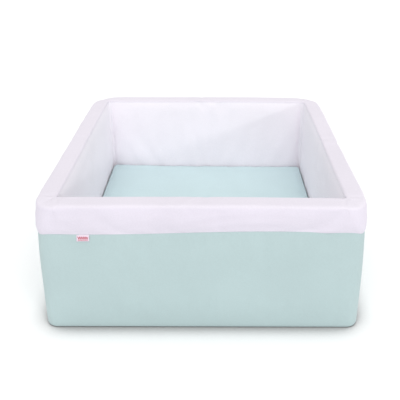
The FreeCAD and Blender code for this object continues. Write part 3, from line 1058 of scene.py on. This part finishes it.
def tube_mesh(line, radius, sides):
    """Points and quads of a round tube along a line of points, with closed ends."""
    way = np.gradient(line, axis=0)
    way /= np.linalg.norm(way, axis=1, keepdims=True)
    aside = np.cross(way, (1.0, 0.3, 0.2))
    aside /= np.linalg.norm(aside, axis=1, keepdims=True)
    other = np.cross(way, aside)
    turn = np.arange(sides) * 2.0 * math.pi / sides
    rings = (line[:, None] + radius * (np.cos(turn)[None, :, None] * aside[:, None]
                                       + np.sin(turn)[None, :, None] * other[:, None]))
    faces = quads(len(line), sides, closed_columns=True)
    last = (len(line) - 1) * sides
    faces.append(list(reversed(range(sides))))
    faces.append([last + s for s in range(sides)])
    return rings.reshape(-1, 3), faces


def zip_tape(name, node, body):
    """A woven tape with a thicker inner edge and a slight waviness."""
    low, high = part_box(node)
    inner_is_low = node.endswith("upper")
    columns = np.linspace(low.x, high.x, round((high.x - low.x) / (8 * MM)) + 1)
    shares = (0.0, 0.12, 0.2, 0.45, 0.7, 1.0)
    points = []
    for x in columns:
        for share in shares:
            z = low.z + share * (high.z - low.z) if inner_is_low else high.z - share * (high.z - low.z)
            bead = TAPE_BEAD if share < 0.15 else 0.0
            y = high.y - 0.15 * MM + bead - 0.06 * MM * math.sin(90.0 * x + 30.0 * share)
            points.append((x, y, z))
    faces = quads(len(columns), len(shares))
    if not inner_is_low:
        faces = [face[::-1] for face in faces]
    tape = new_mesh(name, points, faces)
    thick = tape.modifiers.new("thick", "SOLIDIFY")
    thick.thickness = TAPE_THICK
    thick.offset = -1.0
    apply_modifiers(tape)
    return finish_piece(tape, "zip_tape", body, "zip_tape", node)


def topstitch():
    """Two rows of stitches that hold the wall's zip, one above and one below it."""
    points, faces = [], []
    reach = WALL_ZIP[1].x + 2 * MM
    for height in (WALL_ZIP[0].z - TOPSTITCH_AWAY, WALL_ZIP[1].z + TOPSTITCH_AWAY):
        for x in np.arange(-reach, reach, TOPSTITCH_PITCH):
            share = np.linspace(0.0, 1.0, 5)
            line = np.stack([
                x + TOPSTITCH_LENGTH * share,
                HALF - 0.1 * MM + 0.25 * MM * np.sin(math.pi * share),
                np.full(5, height),
            ], axis=1)
            ring_points, ring_faces = tube_mesh(line, THREAD, WIRE_SIDES)
            start = len(points)
            points.extend(ring_points)
            faces.extend([[start + i for i in f] for f in ring_faces])
    finish_piece(new_mesh("zip_topstitch", points, faces), "mint_thread", "wall_ring", "mint_jersey")


def make_zips():
    for prefix, body in (("wall_zip", "wall_ring"), ("mat_zip", "mat")):
        for half in ("upper", "lower"):
            coil(f"{prefix}_helix_{half}", f"{prefix}_coil_{half}", body)
            zip_tape(f"{prefix}_ribbon_{half}", f"{prefix}_tape_{half}", body)
    topstitch()
    for node in ("wall_zip_stop_left", "wall_zip_stop_right", "wall_zip_slider", "wall_zip_pull",
                 "mat_zip_stop_left", "mat_zip_stop_right", "mat_zip_slider"):
        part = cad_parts[node]
        part.data.materials.clear()
        part.data.materials.append(MATERIALS["zip_metal"])
        soft_edge = part.modifiers.new("soft_edge", "BEVEL")
        soft_edge.width = 0.12 * MM
        soft_edge.segments = 2
        soft_edge.limit_method = "ANGLE"


# ---- the label

def make_label():
    """A folded woven label, held in the seam by its top edge and hanging a little off the skirt."""
    middle = (TAG_LOW.x + TAG_HIGH.x) / 2.0
    column = min(range(PER_SIDE), key=lambda c: abs(COVER[SEAM_ROW, c, 0] - middle))
    skirt_line = COVER[FACE_ROW:SEAM_ROW + 1, column]
    root = Vector(COVER[SEAM_ROW, column])
    wide = TAG_HIGH.x - TAG_LOW.x
    drop = root.z - TAG_LOW.z + LABEL_LOW
    layer_gap = 0.35 * MM
    down = np.linspace(0.0, 1.0, 15)
    heights = root.z - 0.2 * MM - drop * down
    off = 2.2 * MM * smooth(down / 0.25) + 0.8 * MM * smooth((down - 0.4) / 0.6)
    out = np.interp(heights, skirt_line[:, 2], skirt_line[:, 1]) - off
    front_line = [(y - layer_gap, z) for y, z in zip(out, heights)]
    fold = [(out[-1], heights[-1] - 0.45 * MM)]
    back_line = [(y + layer_gap, z) for y, z in zip(out[::-1], heights[::-1])]
    section = front_line + fold + back_line
    length = running(section)
    shares = np.linspace(0.0, 1.0, 12)
    points, uv = [], []
    for (y, z), away in zip(section, length):
        hung = min(1.0, (root.z - z) / drop)
        for share in shares:
            curl = hung * (0.5 * MM * math.sin(3.0 * share + 0.4) + 0.6 * MM * (2.0 * share - 1.0) ** 2)
            points.append((TAG_LOW.x + share * wide, y - curl, z + 0.5 * MM * hung * (share - 0.5)))
            uv.append((share * wide, away))
    faces = [[a, d, c, b] for a, b, c, d in quads(len(section), len(shares))]
    label = new_mesh("label", points, faces, np.array(uv))
    thicken(label, thickness=0.3 * MM)
    finish_piece(label, "woven_label", None, "woven_label", "woven_tag")
    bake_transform(label)


# ---- camera, light and floor

def camera():
    """The view from above the front."""
    data = bpy.data.cameras.new("camera")
    data.sensor_width = 36.0
    data.lens = LENS
    data.shift_x, data.shift_y = SHIFT
    eye = link("camera", data)
    pitch, yaw, roll = (math.radians(angle) for angle in (PITCH, YAW, ROLL))
    level = Vector((math.sin(yaw), math.cos(yaw), 0.0))
    forward = math.cos(pitch) * level - math.sin(pitch) * Vector((0.0, 0.0, 1.0))
    right = Vector((math.cos(yaw), -math.sin(yaw), 0.0))
    up = right.cross(forward)
    right_rolled = math.cos(roll) * right + math.sin(roll) * up
    up_rolled = -math.sin(roll) * right + math.cos(roll) * up
    axes = Matrix((right_rolled, up_rolled, -forward)).transposed()
    eye.matrix_world = Matrix.Translation(EYE) @ axes.to_4x4()
    bpy.context.scene.camera = eye


def soft_light(name, turn, height, width, strength):
    """Even light from a wide lamp far away; angles in degrees, turn from the front to +X."""
    data = bpy.data.lights.new(name, "SUN")
    data.energy = strength
    data.angle = math.radians(width)
    lamp = link(name, data)
    across, up = math.radians(turn), math.radians(height)
    way = Vector((math.sin(across) * math.cos(up), -math.cos(across) * math.cos(up), math.sin(up)))
    lamp.rotation_euler = way.to_track_quat("Z", "Y").to_euler()


def studio():
    """White surroundings and soft light from above the front."""
    world = bpy.data.worlds.new("studio")
    world.use_nodes = True
    sky = world.node_tree.nodes["Background"]
    sky.inputs["Color"].default_value = (1.0, 1.0, 1.0, 1.0)
    sky.inputs["Strength"].default_value = SKY
    bpy.context.scene.world = world
    bpy.context.scene.view_settings.view_transform = "Standard"
    soft_light("window", turn=38.0, height=14.0, width=4.0, strength=0.33)
    soft_light("ceiling", turn=3.0, height=58.0, width=50.0, strength=1.08)


def floor():
    """A plain white floor, with a soft shade close round the foot of the pen."""
    n = Nodes("floor")
    tone = n.noise(n.object_place(), 3.0)
    plain = n.ramp(tone, [(0.3, (0.97, 0.97, 0.97)), (0.7, (0.98, 0.98, 0.98))])
    open_sky = n.add("ShaderNodeAmbientOcclusion", {"Distance": CONTACT_REACH}, samples=12).outputs["AO"]
    greys = ((0.42, 0.28), (0.75, 0.85), (0.96, 1.0))
    contact = n.ramp(open_sky, [(openness, (grey, grey, grey)) for openness, grey in greys])
    base = n.mix(1.0, plain, contact, "MULTIPLY")
    white = n.surface(base, n.bump(tone, 0.1 * MM, 0.1), Roughness=0.9)
    corners = [(FLOOR_REACH * x, FLOOR_REACH * y, 0.0) for x, y in ((-1, -1), (1, -1), (1, 1), (-1, 1))]
    sheet = new_mesh("floor", corners, [(0, 1, 2, 3)])
    sheet.location.z = -0.2 * MM
    sheet.data.materials.append(white)


camera()
studio()
floor()
make_skirt()
make_sleeves()
foam_boards()
make_mat()
make_zips()
make_label()
